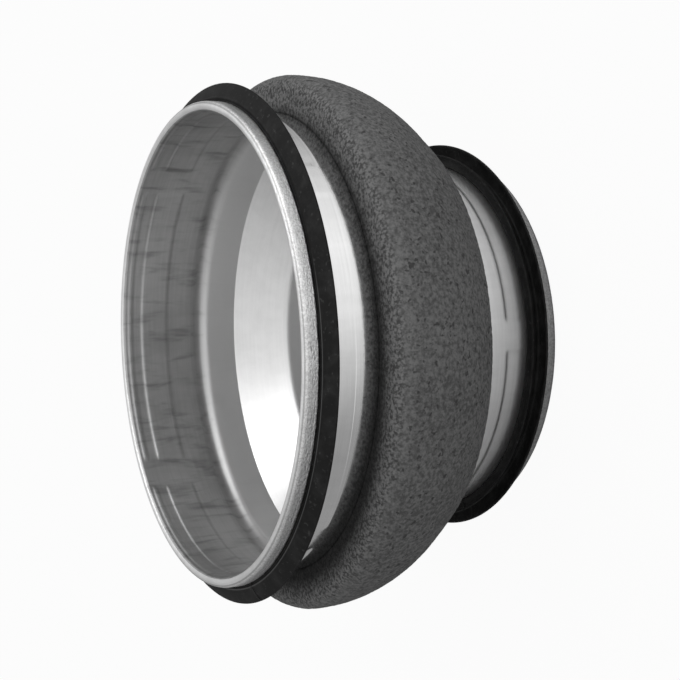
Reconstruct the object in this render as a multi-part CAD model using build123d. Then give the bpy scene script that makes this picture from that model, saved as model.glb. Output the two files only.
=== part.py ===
from build123d import *
from math import atan2, hypot, tan
import os

os.makedirs("parts", exist_ok=True)

# All lengths are millimetres. +Z is the duct's axis, with the small rim at z = 0 and the large mouth on top.

# Pressed sheet
sheet = 0.7
overallLength = 124.3
largeHemRadius = 99.7
smallHemRadius = 79.7
largeSpigotLength = 58.3
smallSpigotLength = 45.7
hemWidth = 5.7
hemRoom = 2.6
creaseRadius = 1.2
throatRadius = 3.0

# Stop bead, rolled outwards in the large spigot
beadFromRim = 39.3
beadWidth = 9.0
beadHeight = 1.8
beadFootRadius = 2.0

# Jaw marks: each spigot is pressed inwards in four segments, in a land behind the seal
jawCount = 4
jawGap = 9.4
jawDepth = 0.5
jawStart = 9.2
jawEnd = 22.8
jawSlope = 0.9
largeJawTurn = 38.0
smallJawTurn = -1.5

# Lip seals, held by a strip inside the hem
sealClearance = 0.05
stripStart = 2.6
stripEnd = 12.8
bodyThickness = 2.2
bodyTaper = 1.4
largeLipHeight = 7.5
smallLipHeight = 5.7
lipLean = 3.4
rearLipHeight = 1.4
rearLipLean = 2.6
rearLipPitch = 3.9
lipBase = 2.4
lipTip = 0.9
lipSink = 0.2
lipBow = 0.5
sealJointGap = 0.25
sealJointTurn = 197.5

# Moulded foam jacket
jacketClearance = 0.1
foamFrontThickness = 16.1
foamEndThickness = 17.8
foamFromLargeRim = 31.8
foamFromSmallRim = 41.3
foamShoulderFromLargeRim = 59.4
foamFrontRound = 5.5
foamShoulderRadius = 54.0
foamEndRound = 4.0

# Derived radii and levels
hemFold = sheet + hemRoom / 2
largeWall = largeHemRadius - sheet - hemRoom
smallWall = smallHemRadius - sheet - hemRoom
creaseLevel = overallLength - largeSpigotLength
throatLevel = smallSpigotLength
coneAngle = atan2(largeWall - smallWall, creaseLevel - throatLevel)
bendShift = tan(coneAngle / 2)


def bendPoint(radius, level, grow):
    return (radius + grow, level - grow * bendShift)


def closedFace(*edges):
    return make_face(Curve() + list(edges))


def polygonFace(points):
    return make_face(Polyline(*points, close=True))


def spun(face, turn=360.0, start=0.0):
    return Rot(0, 0, start) * revolve(Plane.XZ * face, Axis.Z, turn)


# A spigot's sections are drawn by the distance from its free rim, then placed at either end
def fromRim(atTop):
    if atTop:
        return lambda radius, depth: (radius, overallLength - depth)
    return lambda radius, depth: (radius, depth)


def wallFace():
    outer = [
        (largeWall, overallLength - hemFold),
        bendPoint(largeWall, creaseLevel, 0),
        bendPoint(smallWall, throatLevel, 0),
        (smallWall, hemFold),
    ]
    inner = [
        (smallWall - sheet, hemFold),
        bendPoint(smallWall, throatLevel, -sheet),
        bendPoint(largeWall, creaseLevel, -sheet),
        (largeWall - sheet, overallLength - hemFold),
    ]
    face = polygonFace(outer + inner)

    def rounded(face, point, radius):
        corner = face.vertices().sort_by_distance((point[0], point[1], 0))[0]
        return fillet(corner, radius)

    face = rounded(face, outer[1], creaseRadius)
    face = rounded(face, inner[2], creaseRadius - sheet)
    face = rounded(face, outer[2], throatRadius)
    face = rounded(face, inner[1], throatRadius + sheet)
    return face


# The rim is folded back on itself, and leaves room in the fold for the seal's strip
def hemFace(hemRadius, atTop):
    at = fromRim(atTop)
    middle = hemRadius - hemFold
    outerArc = ThreePointArc(at(middle - hemFold, hemFold), at(middle, 0), at(hemRadius, hemFold))
    innerArc = ThreePointArc(
        at(hemRadius - sheet, hemFold), at(middle, sheet), at(middle - hemRoom / 2, hemFold)
    )
    return closedFace(
        outerArc,
        Line(at(hemRadius, hemFold), at(hemRadius, hemWidth)),
        Line(at(hemRadius, hemWidth), at(hemRadius - sheet, hemWidth)),
        Line(at(hemRadius - sheet, hemWidth), at(hemRadius - sheet, hemFold)),
        innerArc,
        Line(at(middle - hemRoom / 2, hemFold), at(middle - hemFold, hemFold)),
    )


def beadArch(radius, halfWidth):
    level = overallLength - beadFromRim
    low = (radius, level - halfWidth)
    high = (radius, level + halfWidth)
    return closedFace(ThreePointArc(low, (radius + beadHeight, level), high), Line(high, low))


def shellFace():
    level = overallLength - beadFromRim
    face = wallFace() + beadArch(largeWall, beadWidth / 2)
    face = face - beadArch(largeWall - sheet, beadWidth / 2 - sheet / 2)
    for radius, half in ((largeWall, beadWidth / 2), (largeWall - sheet, beadWidth / 2 - sheet / 2)):
        for side in (-half, half):
            foot = face.vertices().sort_by_distance((radius, level + side, 0))[0]
            face = fillet(foot, beadFootRadius)
    return face + hemFace(largeHemRadius, True) + hemFace(smallHemRadius, False)


def jawFace(radius, atTop):
    at = fromRim(atTop)
    return polygonFace(
        [
            at(radius, jawStart),
            at(radius - jawDepth, jawStart + jawSlope),
            at(radius - jawDepth, jawEnd - jawSlope),
            at(radius, jawEnd),
        ]
    )


def reducerShell():
    shell = spun(shellFace())
    pitch = 360.0 / jawCount
    for wall, atTop, turn in ((largeWall, True, largeJawTurn), (smallWall, False, smallJawTurn)):
        added = spun(jawFace(wall - sheet, atTop), pitch - jawGap, turn + jawGap / 2)
        taken = spun(jawFace(wall, atTop), pitch - jawGap, turn + jawGap / 2)
        for k in range(jawCount):
            shell += Rot(0, 0, k * pitch) * added
            shell -= Rot(0, 0, k * pitch) * taken
    return shell


# One rubber section: strip in the hem, body behind it, a tall lip and a low one, both leaning back
def lipFace(at, base, root, outermost, lean):
    tip = outermost - lipTip / 2
    middle = (base + tip) / 2
    lipEnd = root + lean + lipTip
    front = ThreePointArc(at(base, root), at(middle, root + lean / 2 - lipBow), at(tip, root + lean))
    nose = ThreePointArc(at(tip, root + lean), at(outermost, root + lean + lipTip / 2), at(tip, lipEnd))
    back = ThreePointArc(
        at(tip, lipEnd), at(middle, (lipEnd + root + lipBase) / 2 - lipBow), at(base, root + lipBase)
    )
    return closedFace(front, nose, back, Line(at(base, root + lipBase), at(base, root)))


def lipSeal(wall, hemRadius, lipHeight, atTop):
    at = fromRim(atTop)
    inside = wall + sealClearance
    stripTop = wall + hemRoom - sealClearance
    bodyTop = wall + bodyThickness
    bodyStart = hemWidth + sealClearance
    face = polygonFace(
        [
            at(inside, stripStart),
            at(stripTop, stripStart),
            at(stripTop, bodyStart),
            at(bodyTop, bodyStart),
            at(bodyTop, stripEnd - bodyTaper),
            at(bodyTop - bodyTaper, stripEnd),
            at(inside, stripEnd),
        ]
    )
    base = bodyTop - lipSink
    face += lipFace(at, base, bodyStart, hemRadius + lipHeight, lipLean)
    face += lipFace(at, base, bodyStart + rearLipPitch, hemRadius + rearLipHeight, rearLipLean)
    ring = spun(face)
    # The strip's two ends meet in a butt joint
    reach = hemRadius + 2 * lipHeight
    slit = Pos(reach / 2, 0, overallLength / 2) * Box(reach, sealJointGap, overallLength)
    return ring - Rot(0, 0, sealJointTurn) * slit


# The foam's outside is a cylinder over the large spigot that bends over a wide shoulder towards the small one
def jacketFace():
    top = overallLength - foamFromLargeRim
    shoulder = overallLength - foamShoulderFromLargeRim
    frontRadius = largeWall + foamFrontThickness
    endRadius = smallWall + foamEndThickness
    outer = [(frontRadius, top), (frontRadius, shoulder), (endRadius, foamFromSmallRim)]
    face = polygonFace(outer + [(0, foamFromSmallRim), (0, top)])
    slopeRun = hypot(frontRadius - endRadius, shoulder - foamFromSmallRim)
    slopeAngle = atan2(frontRadius - endRadius, shoulder - foamFromSmallRim)
    room = min(top - shoulder - 1.3 * foamFrontRound, slopeRun - 2 * foamEndRound)
    shoulderRadius = min(foamShoulderRadius, room / tan(slopeAngle / 2))
    for point, radius in zip(outer, (foamFrontRound, shoulderRadius, foamEndRound)):
        corner = face.vertices().sort_by_distance((point[0], point[1], 0))[0]
        face = fillet(corner, radius)
    return face


def foamJacket():
    seat = [
        (0, overallLength),
        (largeWall + jacketClearance, overallLength),
        bendPoint(largeWall, creaseLevel, jacketClearance),
        bendPoint(smallWall, throatLevel, jacketClearance),
        (smallWall + jacketClearance, 0),
        (0, 0),
    ]
    seatFace = polygonFace(seat)
    corner = seatFace.vertices().sort_by_distance((seat[3][0], seat[3][1], 0))[0]
    seatFace = fillet(corner, throatRadius - jacketClearance)
    seatFace += beadArch(largeWall + jacketClearance, beadWidth / 2 + beadFootRadius / 2)
    return spun(jacketFace() - seatFace)


shell = reducerShell()
largeSeal = lipSeal(largeWall, largeHemRadius, largeLipHeight, True)
smallSeal = lipSeal(smallWall, smallHemRadius, smallLipHeight, False)
jacket = foamJacket()

for node, solid in (
    ("reducer_shell", shell),
    ("large_seal", largeSeal),
    ("small_seal", smallSeal),
    ("foam_jacket", jacket),
):
    export_step(solid, f"parts/{node}.step")
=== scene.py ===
import math

import bpy
from mathutils import Matrix, Vector, noise


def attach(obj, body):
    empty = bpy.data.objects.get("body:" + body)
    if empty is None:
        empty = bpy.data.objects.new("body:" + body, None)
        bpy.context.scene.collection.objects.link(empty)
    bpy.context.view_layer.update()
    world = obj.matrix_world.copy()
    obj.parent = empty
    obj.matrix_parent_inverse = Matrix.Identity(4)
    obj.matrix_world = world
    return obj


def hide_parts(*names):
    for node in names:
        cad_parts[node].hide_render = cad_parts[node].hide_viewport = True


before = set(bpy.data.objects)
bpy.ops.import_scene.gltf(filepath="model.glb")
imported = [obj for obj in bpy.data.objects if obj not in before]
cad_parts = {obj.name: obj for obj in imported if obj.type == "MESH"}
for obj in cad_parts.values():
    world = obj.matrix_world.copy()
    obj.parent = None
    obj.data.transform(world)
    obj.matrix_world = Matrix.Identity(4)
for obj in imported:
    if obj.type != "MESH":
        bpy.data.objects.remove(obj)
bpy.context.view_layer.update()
print("frame loaded:", sorted(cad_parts))

mm = 0.001

# Sizes shared by all the pieces, in millimetres, as in the part's source
duct = {
    "length": 124.3,
    "largeHem": 99.7,
    "smallHem": 79.7,
    "sheet": 0.7,
    "hemWidth": 5.7,
    "hemRoom": 2.6,
    "largeSpigot": 58.3,
    "smallSpigot": 45.7,
}
duct["largeWall"] = duct["largeHem"] - duct["sheet"] - duct["hemRoom"]
duct["smallWall"] = duct["smallHem"] - duct["sheet"] - duct["hemRoom"]
duct["crease"] = duct["length"] - duct["largeSpigot"]
duct["throat"] = duct["smallSpigot"]
duct["coneAngle"] = math.atan2(duct["largeWall"] - duct["smallWall"], duct["crease"] - duct["throat"])


def bendCorner(radius, level, grow, rounding):
    return (radius + grow, level - grow * math.tan(duct["coneAngle"] / 2), rounding)


# Sections are lists of (radius, level) points
def roundedPath(corners, turnStep=12.0):
    points = []
    for k, (r, z, rounding) in enumerate(corners):
        if k in (0, len(corners) - 1) or not rounding:
            points.append((r, z))
            continue
        here = Vector((r, z))
        back = (Vector(corners[k - 1][:2]) - here).normalized()
        ahead = (Vector(corners[k + 1][:2]) - here).normalized()
        half = back.angle(ahead) / 2
        centre = here + (back + ahead).normalized() * (rounding / math.sin(half))
        start = here + back * (rounding / math.tan(half)) - centre
        turn = start.angle_signed(here + ahead * (rounding / math.tan(half)) - centre)
        steps = max(3, math.ceil(abs(math.degrees(turn)) / turnStep))
        for i in range(steps + 1):
            a = -turn * i / steps
            c, s = math.cos(a), math.sin(a)
            points.append((centre.x + start.x * c - start.y * s, centre.y + start.x * s + start.y * c))
    return points


def arcThrough(a, b, c, steps):
    a, b, c = Vector(a), Vector(b), Vector(c)
    aa, bb, cc = a.length_squared, b.length_squared, c.length_squared
    d = 2 * (a.x * (b.y - c.y) + b.x * (c.y - a.y) + c.x * (a.y - b.y))
    ux = (aa * (b.y - c.y) + bb * (c.y - a.y) + cc * (a.y - b.y)) / d
    uy = (aa * (c.x - b.x) + bb * (a.x - c.x) + cc * (b.x - a.x)) / d
    centre = Vector((ux, uy))
    start = a - centre
    turn = -start.angle_signed(b - centre) - (b - centre).angle_signed(c - centre)
    points = []
    for i in range(steps + 1):
        t = turn * i / steps
        c, s = math.cos(t), math.sin(t)
        points.append((centre.x + start.x * c - start.y * s, centre.y + start.x * s + start.y * c))
    return points


def spaced(points, gap):
    out = [points[0]]
    for (r0, z0), (r1, z1) in zip(points, points[1:]):
        run = math.hypot(r1 - r0, z1 - z0)
        if run < 1e-5:
            continue
        steps = max(1, math.ceil(run / gap))
        out += [(r0 + (r1 - r0) * i / steps, z0 + (z1 - z0) * i / steps) for i in range(1, steps + 1)]
    return out


def leftNormals(points):
    normals = []
    for k in range(len(points)):
        r0, z0 = points[max(k - 1, 0)]
        r1, z1 = points[min(k + 1, len(points) - 1)]
        run = math.hypot(r1 - r0, z1 - z0)
        normals.append((-(z1 - z0) / run, (r1 - r0) / run))
    return normals


def smooth(low, high, x):
    t = min(max((x - low) / (high - low), 0.0), 1.0)
    return t * t * (3 - 2 * t)


def evenAngles(count, start=0.0, slit=0.0):
    last = count if not slit else count + 1
    return [start + slit / 2 + (360.0 - slit) * j / count for j in range(last)]


# Turns a closed section about the axis, through the given angles. An open ring gets two end faces
def turned(name, section, angles, shift=None, zones=None, isOpen=False):
    rings, count = len(angles), len(section)
    points = []
    for angle in angles:
        c, s = math.cos(math.radians(angle)), math.sin(math.radians(angle))
        for i, (r, z) in enumerate(section):
            dr, dz = shift(i, angle % 360.0) if shift else (0.0, 0.0)
            points.append(((r + dr) * c * mm, (r + dr) * s * mm, (z + dz) * mm))
    faces, slots = [], []
    for j in range(rings - 1 if isOpen else rings):
        a, b = j * count, (j + 1) % rings * count
        for i in range(count):
            k = (i + 1) % count
            faces.append((a + i, b + i, b + k, a + k))
            slots.append(zones[i] if zones else 0)
    if isOpen:
        faces += [tuple(range(count - 1, -1, -1)), tuple(range((rings - 1) * count, rings * count))]
        slots += [0, 0]
    mesh = bpy.data.meshes.new(name)
    mesh.from_pydata(points, [], faces)
    mesh.polygons.foreach_set("material_index", slots)
    mesh.polygons.foreach_set("use_smooth", [True] * len(faces))
    mesh.update()
    if sum(p.area * p.normal.dot(p.center) for p in mesh.polygons) < 0:
        mesh.flip_normals()
    body = bpy.data.objects.new(name, mesh)
    bpy.context.scene.collection.objects.link(body)
    return body


# A socket that takes part in sums
class Field:
    def __init__(self, finish, socket):
        self.finish = finish
        self.socket = socket

    def maths(self, operation, *others, clamp=False):
        values = dict(enumerate((self,) + others))
        return self.finish.node("ShaderNodeMath", {"operation": operation, "use_clamp": clamp}, values)

    def output(self, name):
        return Field(self.finish, self.socket.node.outputs[name])

    def __add__(self, other):
        return self.maths("ADD", other)

    def __radd__(self, other):
        return self.maths("ADD", other)

    def __sub__(self, other):
        return self.maths("SUBTRACT", other)

    def __rsub__(self, other):
        return self.maths("MULTIPLY", -1.0) + other

    def __mul__(self, other):
        return self.maths("MULTIPLY", other)

    def __rmul__(self, other):
        return self.maths("MULTIPLY", other)

    def __truediv__(self, other):
        return self.maths("DIVIDE", other)

    def __pow__(self, other):
        return self.maths("POWER", other)


# One node tree, of a material or the world
class Finish:
    def __init__(self, owner):
        self.owner = owner
        owner.use_nodes = True
        self.tree = owner.node_tree
        self.tree.nodes.clear()

    def node(self, kind, settings=None, values=None, output=0):
        made = self.tree.nodes.new(kind)
        for key, value in (settings or {}).items():
            setattr(made, key, value)
        for key, value in (values or {}).items():
            if isinstance(value, Field):
                self.tree.links.new(value.socket, made.inputs[key])
            else:
                made.inputs[key].default_value = value
        return Field(self, made.outputs[output]) if made.outputs else None

    def place(self, stretch=(1, 1, 1)):
        here = self.node("ShaderNodeTexCoord", output="Object")
        return self.node("ShaderNodeMapping", None, {"Vector": here, "Scale": stretch})

    def axes(self, where):
        x = self.node("ShaderNodeSeparateXYZ", None, {0: where})
        return x, x.output("Y"), x.output("Z")

    def grain(self, where, scale, detail=3.0, roughness=0.55, distortion=0.0):
        values = {"Vector": where, "Scale": scale, "Detail": detail}
        values.update({"Roughness": roughness, "Distortion": distortion})
        return self.node("ShaderNodeTexNoise", None, values)

    def cells(self, where, scale, feature="F1"):
        return self.node("ShaderNodeTexVoronoi", {"feature": feature}, {"Vector": where, "Scale": scale})

    def between(self, value, low, high, start=0.0, end=1.0):
        values = {"Value": value, "From Min": low, "From Max": high, "To Min": start, "To Max": end}
        return self.node("ShaderNodeMapRange", {"interpolation_type": "SMOOTHSTEP"}, values)

    def blend(self, share, first, second):
        values = {0: share, 6: first, 7: second}
        return self.node("ShaderNodeMix", {"data_type": "RGBA"}, values, 2)

    def bump(self, height, strength, distance):
        values = {"Height": height, "Strength": strength, "Distance": distance}
        return self.node("ShaderNodeBump", None, values)

    def surface(self, values):
        shader = self.node("ShaderNodeBsdfPrincipled", None, values)
        self.node("ShaderNodeOutputMaterial", None, {"Surface": shader})
        return self.owner


def grey(level):
    return (level, level, level, 1)


def fromAxis(x, y):
    return (x * x + y * y) ** 0.5


# Galvanised sheet: streaks run round the duct, blotches and smudges lie over them
steelLook = {
    "bright": 0.88,
    "dull": 0.78,
    "roughness": 0.12,
    "streaks": 0.05,
    "blotches": 0.05,
    "smudge": 0.0,
    "grit": 0.0,
    "blur": 0.0,
    "spangle": 0.1,
    "bump": 0.05,
    "metallic": 1.0,
    "bumpDepth": 0.0004,
    "coneLightBelow": (0.079, 0.086),  # levels in metres: painted light, the inner wall under the bead is painted paler in place of light thrown back by the cone
    "smallEnd": (0.040, 0.050),  # the small spigot is darker and grittier
    "blurBelow": (0.040, 0.052),
    "hemOutside": (0.0984, 0.0988),  # radii of the large hem's outer side
    "hemStep": 0.020,  # the small hem is that much further in
    "foldLineStart": (0.0002, 0.00035),  # painted shade: a dark line along the groove behind the fold, by depth from the rim
    "foldShadeEnd": (0.0006, 0.0008),
}


def steelFinish(name, look):
    f = Finish(bpy.data.materials.new(name))
    along = f.grain(f.place((30, 30, 900)), 1.0, 4.0, 0.6)
    across = f.grain(f.place((160, 160, 26)), 1.0, 4.0, 0.62, 0.4)
    wide = f.grain(f.place(), 55.0, 3.0, 0.6, 0.8)
    fine = f.grain(f.place((1, 1, 2)), 900.0, 2.0)
    shade = f.between(along * 0.35 + wide * 0.35 + across * 0.3, 0.34, 0.66)
    colour = f.blend(shade, grey(look["dull"]), grey(look["bright"]))
    if look["smudge"]:
        stain = f.between(f.grain(f.place((210, 210, 48)), 1.0, 2.5, 0.6, 0.3), 0.48, 0.78)
        colour = f.blend(stain * look["smudge"], colour, grey(look["dull"] * 0.45))
        # painted light: the inner wall is painted paler below the bead, standing in for light thrown
        # back by the cone
        paintedConeLight = f.between(f.axes(f.place())[2], *look["coneLightBelow"], 0.9, 0.0)
        colour = f.blend(paintedConeLight, colour, grey(look["bright"] * 1.6))
    if look["grit"]:
        specks = f.between(f.grain(f.place(), 1300.0, 2.0, 0.7), 0.40, 0.64)
        x, y, z = f.axes(f.place())
        middle = duct["length"] / 2 * mm
        depth = middle - (z - middle).maths("ABSOLUTE")
        low = f.between(z, *look["smallEnd"], 1.0, 0.0)
        outer = f.between(fromAxis(x, y) + low * look["hemStep"], *look["hemOutside"])
        colour = f.blend(low * 0.45, colour, grey(look["dull"] * 0.45))
        gritty = specks * outer * (look["grit"] + low * 0.3)
        colour = f.blend(gritty, colour, grey(look["dull"] * 0.5))
        # painted shade: a dark line on the hem's outer side, where the groove behind the fold lies
        line = f.between(depth, *look["foldLineStart"])
        line = line * f.between(depth, *look["foldShadeEnd"], 1.0, 0.0)
        colour = f.blend(line * outer * 0.6, colour, grey(look["dull"] * 0.4))
    rough = look["roughness"] + (along - 0.5) * look["streaks"] + (wide - 0.5) * look["blotches"]
    if look["blur"]:
        rough = rough + f.between(f.axes(f.place())[2], *look["blurBelow"], look["blur"], 0.0)
    height = along * 0.6 + wide * 1.2 + fine * look["spangle"]
    return f.surface({
        "Base Color": colour,
        "Metallic": look["metallic"],
        "Roughness": rough,
        "Normal": f.bump(height, look["bump"], look["bumpDepth"]),
    })


# Pressed sheet: hems, bead, cone and jaw marks
shellLook = {
    "segments": 360,
    "beadFromRim": 39.3,
    "beadWidth": 10.6,
    "beadHeight": 1.75,
    "beadSteps": 10,
    "creaseRound": 0.85,
    "throatRound": 3.35,
    "turnStep": 7.0,
    "spacing": 1.1,
    "jawCount": 4,
    "jawGap": 9.4,
    "jawEdge": 2.0,
    "jawSlope": 0.9,
    "lands": ((9.2, 22.8, 0.45), (2.5, 5.3, 0.35)),
    "outsideShare": 0.6,
    "largeJawTurn": 38.0,
    "smallJawTurn": -1.5,
    "hemWave": 0.06,
    "edgeWave": 0.22,
    "hemGroove": 0.22,
    "grooveDepth": 0.55,
    "grooveWidth": 0.28,
    "grooveReach": 1.8,
    "edgeRun": 0.5,
    "edgeFade": 0.9,
    "leastTurn": 0.12,
    "noseRun": 8,  # points past the fold that still belong to the hem
    "coneMargin": (1.5, 0.4),
}

# What each zone of the sheet changes in steelLook, in the order of the zones
sheetZones = (
    ("sheetOutside", {"blur": 0.20}),
    # painted shade: the inner wall gets a far darker copy of the sheet's colour than the outside, for
    # the shade inside the pipe
    ("sheetInsideShaded", {
        "bright": 0.50, "dull": 0.40, "roughness": 0.42, "streaks": 0.1, "blotches": 0.2, "smudge": 0.65,
    }),
    ("hemSheet", {
        "bright": 0.90, "dull": 0.74, "roughness": 0.38, "spangle": 1.4, "bump": 0.45, "grit": 0.5,
    }),
    # painted light: the cone gets a paler copy of the same sheet's colour than the inner wall, because
    # it faces the light
    ("coneSheetLit", {"bright": 0.80, "dull": 0.72, "roughness": 0.38, "streaks": 0.1}),
)


def landDepths():
    slope = shellLook["jawSlope"]
    depths = []
    for start, end, _ in shellLook["lands"]:
        depths += [start, start + slope / 2, start + slope, end - slope, end - slope / 2, end]
    return sorted(depths)


def sheetLine():
    half = duct["sheet"] / 2
    bend = (duct["sheet"] + duct["hemRoom"]) / 2
    bead = duct["length"] - shellLook["beadFromRim"]
    largeMid, smallMid = duct["largeWall"] - half, duct["smallWall"] - half
    largeOut, smallOut = duct["largeHem"] - half, duct["smallHem"] - half
    top = duct["length"] - half
    edge = (duct["hemWidth"], duct["hemWidth"] - shellLook["edgeRun"])
    path = [(largeOut, duct["length"] - depth, 0) for depth in edge]
    path += [(largeOut, top, bend), (largeMid, top, bend)]
    path += [(largeMid, duct["length"] - depth, 0) for depth in landDepths()]
    steps = shellLook["beadSteps"]
    for k in range(-steps, steps + 1):
        swell = shellLook["beadHeight"] * (1 + math.cos(math.pi * k / steps)) / 2
        path.append((largeMid + swell, bead - shellLook["beadWidth"] / (2 * steps) * k, 0))
    path += [
        bendCorner(duct["largeWall"], duct["crease"], -half, shellLook["creaseRound"]),
        bendCorner(duct["smallWall"], duct["throat"], -half, shellLook["throatRound"]),
    ]
    path += [(smallMid, depth, 0) for depth in reversed(landDepths())]
    path += [(smallMid, half, bend), (smallOut, half, bend)]
    path += [(smallOut, depth, 0) for depth in reversed(edge)]
    return spaced(roundedPath(path, shellLook["turnStep"]), shellLook["spacing"])


def pressed(depth, angle, turn):
    look = shellLook
    pitch = 360.0 / look["jawCount"]
    gap, edge = look["jawGap"], look["jawEdge"]
    off = abs((angle - turn + pitch / 2) % pitch - pitch / 2)
    jaw = smooth((gap - edge) / 2, (gap + edge) / 2, off)
    total = 0.0
    for start, end, deep in look["lands"]:
        run = smooth(start, start + look["jawSlope"], depth)
        run -= smooth(end - look["jawSlope"], end, depth)
        total += run * deep
    return total * jaw


def shellAngles():
    look = shellLook
    pitch = 360.0 / look["jawCount"]
    steps = [look["jawEdge"] * share for share in (-0.5, -0.17, 0.17, 0.5)]
    angles = evenAngles(look["segments"])
    for turn in (look["largeJawTurn"], look["smallJawTurn"]):
        for k in range(look["jawCount"]):
            for side in (-1, 1):
                edge = turn + pitch * k + side * look["jawGap"] / 2
                angles += [(edge + step) % 360.0 for step in steps]
    kept = []
    for angle in sorted(angles):
        if not kept or angle - kept[-1] > look["leastTurn"]:
            kept.append(angle)
    return kept


def makeShell():
    line = sheetLine()
    normals = leftNormals(line)
    half = duct["sheet"] / 2
    left = [(r + n * half, z + m * half) for (r, z), (n, m) in zip(line, normals)]
    right = [(r - n * half, z - m * half) for (r, z), (n, m) in zip(line, normals)]
    section = left + right[::-1]
    middle = line + line[::-1]
    count = len(line)
    largeNose = max(range(count), key=lambda k: line[k][1])
    smallNose = min(range(count), key=lambda k: line[k][1])
    noseRun = shellLook["noseRun"]
    aboveThroat, aboveCrease = shellLook["coneMargin"]

    def inHem(k):
        place = k if k < count else 2 * count - 1 - k
        return place < largeNose + noseRun or place > smallNose - noseRun

    def zone(k):
        if inHem(k):
            return 2
        if k < count:
            return 0
        onCone = duct["throat"] + aboveThroat < middle[k][1] < duct["crease"] + aboveCrease
        return 3 if onCone else 1

    zones = [zone(k) for k in range(len(section))]

    def shift(k, angle):
        r, z = middle[k]
        if inHem(k):
            a = math.radians(angle)
            ring = Vector((math.cos(a), math.sin(a), 0))
            depth = min(z, duct["length"] - z)
            atLarge = z > duct["length"] / 2
            hem = duct["largeHem"] if atLarge else duct["smallHem"]
            wave = noise.noise(ring * 26 + Vector((0, 0, z * 0.2))) * shellLook["hemWave"]
            groove = 0.0
            if k >= count and r > hem - shellLook["grooveReach"]:
                off = (depth - shellLook["grooveDepth"]) / shellLook["grooveWidth"]
                groove = shellLook["hemGroove"] * math.exp(-off ** 2)
            ragged = noise.noise(ring * 17 + Vector((3, 1, 0))) + noise.noise(ring * 47) * 0.6
            fade = smooth(duct["hemWidth"] - shellLook["edgeFade"], duct["hemWidth"], depth)
            ragged *= shellLook["edgeWave"] * fade
            return wave - groove, -ragged if atLarge else ragged
        deep = pressed(duct["length"] - z, angle, shellLook["largeJawTurn"])
        deep += pressed(z, angle, shellLook["smallJawTurn"])
        return -deep * (shellLook["outsideShare"] if k < count else 1.0), 0.0

    shell = turned("reducerShell", section, shellAngles(), shift, zones)
    for name, changes in sheetZones:
        shell.data.materials.append(steelFinish(name, dict(steelLook, **changes)))
    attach(shell, "root")
    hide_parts("reducer_shell")
    return shell


shell = makeShell()
print("shell:", len(shell.data.polygons), "faces")

# Lip seals: a strip inside the hem, a body behind it, a tall lip and a low one
sealLook = {
    "segments": 360,
    "clearance": 0.05,
    "stripStart": 2.6,
    "stripEnd": 12.8,
    "bodyThickness": 2.2,
    "bodyTaper": 1.4,
    "largeLean": 3.4,
    "smallLean": 2.9,
    "rearHeight": 1.4,
    "rearLean": 2.6,
    "rearPitch": 3.9,
    "lipBase": 2.4,
    "lipTip": 0.9,
    "lipSink": 0.2,
    "lipBow": 0.5,
    "ridge": 0.35,
    "ridgeAt": 8.2,  # counted in steps up the lip's front, as the dip at its foot is
    "ridgeWidth": 0.9,
    "dip": 1.4,
    "dipAt": 4.8,
    "dipWidth": 1.5,
    "lipSteps": (26, 8, 10),
    "foldGap": 0.02,
    "spacing": 1.2,
    "largeLip": 7.5,
    "smallLip": 5.7,
    "joint": 197.5,
    "jointGap": 0.14,
    "shade": 0.013,
    "highlightStart": (0.1006, 0.1009),  # radii in metres: a painted highlight along the large lip's ridge, on one side only
    "highlightEnd": (0.1011, 0.1015),
    "highlightLevel": (0.1168, 0.1172),
    "highlightSide": (0.010, 0.034),
}


def rubberFinish():
    f = Finish(bpy.data.materials.new("sealRubber"))
    dust = f.grain(f.place(), 140.0, 4.0, 0.65)
    specks = f.between(f.grain(f.place(), 620.0, 2.0), 0.62, 0.72)
    pores = f.grain(f.place((60, 60, 900)), 1.0, 3.0)
    shade = f.between(dust, 0.40, 0.72)
    black = sealLook["shade"]
    colour = f.blend(shade, grey(black * 0.75), grey(black * 1.6))
    colour = f.blend(specks * 0.5, colour, grey(black * 4.0))
    x, y, z = f.axes(f.place())
    # painted highlight: a pale line along the large lip's ridge, on one side only, where the ridge
    # catches the light
    radius = fromAxis(x, y)
    crest = f.between(radius, *sealLook["highlightStart"])
    crest = crest * f.between(radius, *sealLook["highlightEnd"], 1.0, 0.0)
    crest = crest * f.between(z, *sealLook["highlightLevel"])
    crest = crest * f.between(x, *sealLook["highlightSide"], 1.0, 0.0)
    colour = f.blend(crest * 0.8, colour, grey(black * 8.0))
    normal = f.bump(dust * 0.6 + pores * 0.4, 0.25, 0.0004)
    rough = 0.62 + (dust - 0.5) * 0.25
    return f.surface({
        "Base Color": colour,
        "Roughness": rough,
        "Specular IOR Level": 0.09,
        "Normal": normal,
    })


def lipPoints(base, root, outermost, lean, ridge=0.0):
    look = sealLook
    nose = look["lipTip"]
    tip = outermost - nose / 2
    middle, lipEnd = (base + tip) / 2, root + lean + nose
    frontSteps, capSteps, rearSteps = look["lipSteps"]
    frontMiddle = (middle, root + lean / 2 - look["lipBow"])
    front = arcThrough((base, root), frontMiddle, (tip, root + lean), frontSteps)
    for k, (r, s) in enumerate(front):
        crest = math.exp(-((k - look["ridgeAt"]) / look["ridgeWidth"]) ** 2)
        crest -= look["dip"] * math.exp(-((k - look["dipAt"]) / look["dipWidth"]) ** 2)
        front[k] = (r, s - ridge * crest)
    capMiddle = (outermost, root + lean + nose / 2)
    cap = arcThrough((tip, root + lean), capMiddle, (tip, lipEnd), capSteps)
    rearMiddle = (middle, (lipEnd + root + look["lipBase"]) / 2 - look["lipBow"])
    rear = arcThrough((tip, lipEnd), rearMiddle, (base, root + look["lipBase"]), rearSteps)
    return front + cap[1:] + rear[1:]


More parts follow.
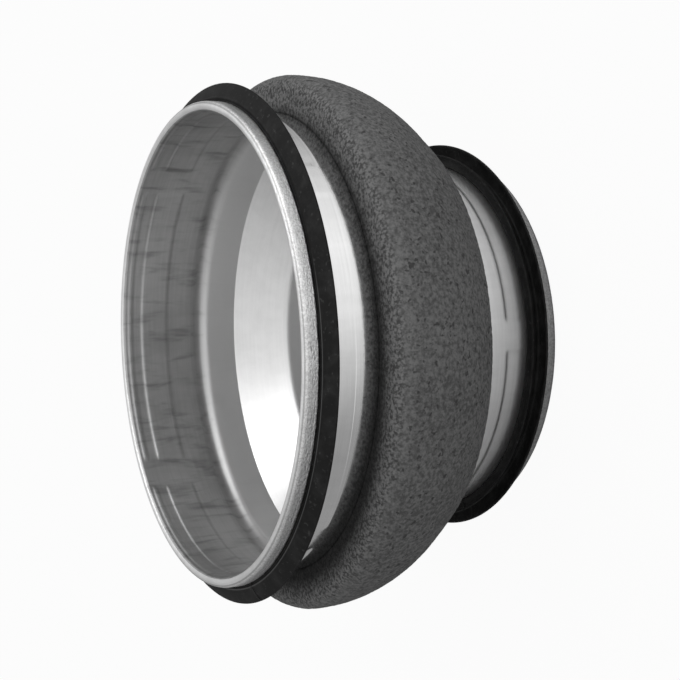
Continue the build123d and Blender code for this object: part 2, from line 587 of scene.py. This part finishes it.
def makeSeal(name, node, size, atTop, finish):
    look = sealLook
    wall, hem = duct[size + "Wall"], duct[size + "Hem"]
    lip, lean = look[size + "Lip"], look[size + "Lean"]
    inside = wall + look["clearance"]
    stripTop = wall + duct["hemRoom"] - look["clearance"]
    bodyTop = wall + look["bodyThickness"]
    bodyStart = duct["hemWidth"] + look["clearance"]
    root = bodyTop - look["lipSink"]
    rearStart = bodyStart + look["rearPitch"]
    section = [(inside, look["stripStart"]), (stripTop, look["stripStart"])]
    section += [(stripTop, bodyStart - look["foldGap"])]
    section += lipPoints(root, bodyStart, hem + lip, lean, look["ridge"])
    section += lipPoints(root, rearStart, hem + look["rearHeight"], look["rearLean"])
    section += [(bodyTop - look["bodyTaper"], look["stripEnd"]), (inside, look["stripEnd"])]
    section = spaced(section + section[:1], look["spacing"])[:-1]
    if atTop:
        section = [(r, duct["length"] - s) for r, s in section]
    angles = evenAngles(look["segments"], look["joint"], look["jointGap"])
    seal = turned(name, section, angles, isOpen=True)
    seal.data.materials.append(finish)
    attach(seal, "root")
    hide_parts(node)


rubber = rubberFinish()
makeSeal("largeSeal", "large_seal", "large", True, rubber)
makeSeal("smallSeal", "small_seal", "small", False, rubber)
print("seals done")

# Foam jacket: a smooth skin round it, a crumbly front face with painted shade darkening it towards the
# sheet
foamLook = {
    "segments": 720,
    "front": 16.1,
    "end": 17.8,
    "fromLargeRim": 31.8,
    "fromSmallRim": 41.3,
    "shoulderFromLargeRim": 59.4,
    "frontRound": 7.0,
    "shoulderRound": 54.0,
    "endRound": 4.0,
    "turnStep": 4.0,
    "spacing": 0.95,
    "clearance": 0.1,
    "grooveHalf": 5.5,
    "grooveHeight": 1.9,
    "grooveSteps": 8,
    "lump": 0.16,
    "offset": 0.6,
    "offsetRun": 5.0,
    "pebble": 0.2,
    "pebbleSize": 1.4,
    "pebbleRun": (3.5, 0.6),  # depths under the front face between which pebbles fade in
    "shade": 0.114,
    "crumbRun": (0.0040, 0.0006),  # the same for the colour, in metres
    "shadeRadii": (0.0966, 0.1050),
    "deepLean": 0.03,
}


def foamFinish():
    f = Finish(bpy.data.materials.new("jacketFoam"))
    here = f.place()
    top = (duct["length"] - foamLook["fromLargeRim"]) * mm
    x, y, z = f.axes(here)
    face = f.between(z, *[top - run for run in foamLook["crumbRun"]])
    # painted shade: the front face is painted darker towards the sheet as a contact shadow, its reach
    # leaning with x to follow the light
    deep = f.between(fromAxis(x, y) + x * foamLook["deepLean"], *foamLook["shadeRadii"], 1.0, 0.0)
    grains = f.cells(here, 900.0)
    pebbles = f.grain(here, 860.0, 1.5, 0.6)
    mottle = f.grain(here, 640.0, 2.5, 0.65)
    broad = f.grain(here, 30.0, 3.0, 0.55)
    holes = f.between(f.grain(here, 470.0, 1.0, 0.5), 0.62, 0.72)
    tone = f.between(mottle * 0.8 + broad * 0.2, 0.34, 0.66)
    shade = foamLook["shade"]
    skin = f.blend(tone, grey(shade * 0.66), grey(shade * 1.42))
    skin = f.blend(holes * 0.75, skin, grey(shade * 0.30))
    crumb = f.blend(f.between(pebbles, 0.34, 0.66), grey(shade * 0.5), grey(shade * 1.6))
    crumb = f.blend(deep * 0.85, crumb, grey(shade * 0.10))
    colour = f.blend(face, skin, crumb)
    height = mottle * 0.5 + grains * 0.4 - holes * 0.7
    normal = f.bump(height, 0.6, 0.0006)
    return f.surface({
        "Base Color": colour,
        "Roughness": 0.92,
        "Specular IOR Level": 0.15,
        "Normal": normal,
    })


def makeJacket():
    look = foamLook
    top = duct["length"] - look["fromLargeRim"]
    shoulder = duct["length"] - look["shoulderFromLargeRim"]
    frontRadius = duct["largeWall"] + look["front"]
    endRadius = duct["smallWall"] + look["end"]
    seatLarge = duct["largeWall"] + look["clearance"]
    seatSmall = duct["smallWall"] + look["clearance"]
    outer = roundedPath([
        (seatLarge, top, 0),
        (frontRadius, top, look["frontRound"]),
        (frontRadius, shoulder, look["shoulderRound"]),
        (endRadius, look["fromSmallRim"], look["endRound"]),
        (seatSmall, look["fromSmallRim"], 0),
    ], look["turnStep"])
    outer = spaced(outer, look["spacing"])
    inner = [
        bendCorner(duct["smallWall"], duct["throat"], look["clearance"], 0)[:2],
        bendCorner(duct["largeWall"], duct["crease"], look["clearance"], 0)[:2],
    ]
    bead = duct["length"] - shellLook["beadFromRim"]
    grooveEnds = [(seatLarge, bead + side * look["grooveHalf"]) for side in (-1, 1)]
    grooveTop = (seatLarge + look["grooveHeight"], bead)
    groove = arcThrough(grooveEnds[0], grooveTop, grooveEnds[1], look["grooveSteps"])
    section = outer + inner + groove
    normals = leftNormals(outer)

    def shift(k, angle):
        if k >= len(outer) or k in (0, len(outer) - 1):
            return 0.0, 0.0
        r, z = outer[k]
        a = math.radians(angle)
        p = Vector((r * math.cos(a), r * math.sin(a), z))
        lump = noise.noise(p * 0.85) * 0.9 + noise.noise(p * 0.32 + Vector((9, 4, 7))) * 0.6
        lump *= look["lump"]
        face = smooth(*[top - run for run in look["pebbleRun"]], z)
        if face:
            near = noise.voronoi(p / look["pebbleSize"])[0][0]
            lump += face * look["pebble"] * (0.45 - near)
        n, m = normals[k]
        seat = seatLarge if z > shoulder else seatSmall
        edge = smooth(seat, seat + look["offsetRun"], r)
        return n * lump - look["offset"] * edge * math.cos(a), m * lump

    jacket = turned("foamJacket", section, evenAngles(look["segments"]), shift)
    jacket.data.materials.append(foamFinish())
    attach(jacket, "root")
    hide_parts("foam_jacket")
    return jacket


jacket = makeJacket()
print("jacket:", len(jacket.data.polygons), "faces")

# Floor, light and camera
studio = {
    "floorSize": 8.0,
    "floorShade": 0.55,
    "cameraWhite": 0.95,
    "airWhite": 0.967,
    "glowSide": (0.574, -0.819),
    "glowLevels": (0.32, 1.0),
    "glowFocus": 2.2,
    "clearRadius": (0.105, 0.142),
    "airLow": 0.42,
    "airHigh": 0.92,
    "airTowards": (0.62, -0.52, 0.58),
    "airFade": (-0.7, 0.95),
    "panel": {"place": (0.8, -0.15, 0.9), "target": (0, 0, 0.07), "size": (0.9, 0.9), "watts": 3.5},
    "sensor": 36.0,
    "clip": (0.01, 50.0),
    "lens": 68.82,
    "place": (-0.00055, -0.50321, 0.32433),
    "elevation": 27.956,
    "roll": -92.592,
}


def makeFloor():
    half = studio["floorSize"] / 2
    mesh = bpy.data.meshes.new("floor")
    corners = [(-half, -half, 0), (half, -half, 0), (half, half, 0), (-half, half, 0)]
    mesh.from_pydata(corners, [], [(0, 1, 2, 3)])
    floor = bpy.data.objects.new("floor", mesh)
    bpy.context.scene.collection.objects.link(floor)
    f = Finish(bpy.data.materials.new("floorPaper"))
    x, y, _ = f.axes(f.place())
    away = fromAxis(x, y)
    # painted light: to glossy rays the floor glows, brighter towards glowSide, a painted pool of light
    # for the metal to reflect; near the object the glow gives way to the lit paper
    sideX, sideY = studio["glowSide"]
    low, high = studio["glowLevels"]
    facing = ((x * sideX + y * sideY) / away).maths("MAXIMUM", 0.0)
    level = low + facing ** studio["glowFocus"] * (high - low)
    clear = f.between(away, *studio["clearRadius"])
    seen = f.node("ShaderNodeLightPath", output="Is Camera Ray")
    shade = f.blend(seen, level, grey(1.0))
    share = seen * studio["cameraWhite"] + seen.output("Is Glossy Ray") * clear
    share = share + seen.output("Is Transmission Ray") * studio["cameraWhite"]
    paper = f.node("ShaderNodeBsdfDiffuse", None, {"Color": grey(studio["floorShade"])})
    glow = f.node("ShaderNodeEmission", None, {"Color": shade, "Strength": 1.0})
    mixed = f.node("ShaderNodeMixShader", None, {0: share, 1: paper, 2: glow})
    f.node("ShaderNodeOutputMaterial", None, {"Surface": mixed})
    floor.data.materials.append(f.owner)


def areaLight(name, place, target, size, watts):
    data = bpy.data.lights.new(name, "AREA")
    data.shape = "RECTANGLE"
    data.size, data.size_y = size
    data.energy = watts
    lamp = bpy.data.objects.new(name, data)
    bpy.context.scene.collection.objects.link(lamp)
    lamp.location = place
    lamp.rotation_euler = (Vector(target) - Vector(place)).to_track_quat("-Z", "Y").to_euler()


def makeLight():
    world = bpy.data.worlds.new("studioAir")
    bpy.context.scene.world = world
    f = Finish(world)
    here = f.node("ShaderNodeTexCoord", output="Generated")
    towards = Vector(studio["airTowards"]).normalized()
    facing = f.node("ShaderNodeVectorMath", {"operation": "DOT_PRODUCT"}, {0: here, 1: towards}, "Value")
    level = f.between(facing, *studio["airFade"], studio["airLow"], studio["airHigh"])
    air = f.node("ShaderNodeBackground", None, {"Color": grey(1.0), "Strength": level})
    white = f.node("ShaderNodeBackground", None, {"Color": grey(1.0), "Strength": studio["airWhite"]})
    seen = f.node("ShaderNodeLightPath", output="Is Camera Ray")
    mixed = f.node("ShaderNodeMixShader", None, {0: seen, 1: air, 2: white})
    f.node("ShaderNodeOutputWorld", None, {"Surface": mixed})
    areaLight("topPanel", **studio["panel"])


def makeCamera():
    data = bpy.data.cameras.new("photoCamera")
    data.sensor_width = studio["sensor"]
    data.lens = studio["lens"]
    data.clip_start, data.clip_end = studio["clip"]
    camera = bpy.data.objects.new("photoCamera", data)
    bpy.context.scene.collection.objects.link(camera)
    e, roll = math.radians(studio["elevation"]), math.radians(studio["roll"])
    back = Vector((0, -math.cos(e), math.sin(e)))
    level, upright = Vector((1, 0, 0)), Vector((0, math.sin(e), math.cos(e)))
    right = level * math.cos(roll) + upright * math.sin(roll)
    up = back.cross(right)
    turn = Matrix((right, up, back)).transposed().to_4x4()
    camera.matrix_world = Matrix.Translation(studio["place"]) @ turn
    bpy.context.scene.camera = camera


makeFloor()
makeLight()
makeCamera()
bpy.context.scene.view_settings.view_transform = "Standard"
print("stage set")
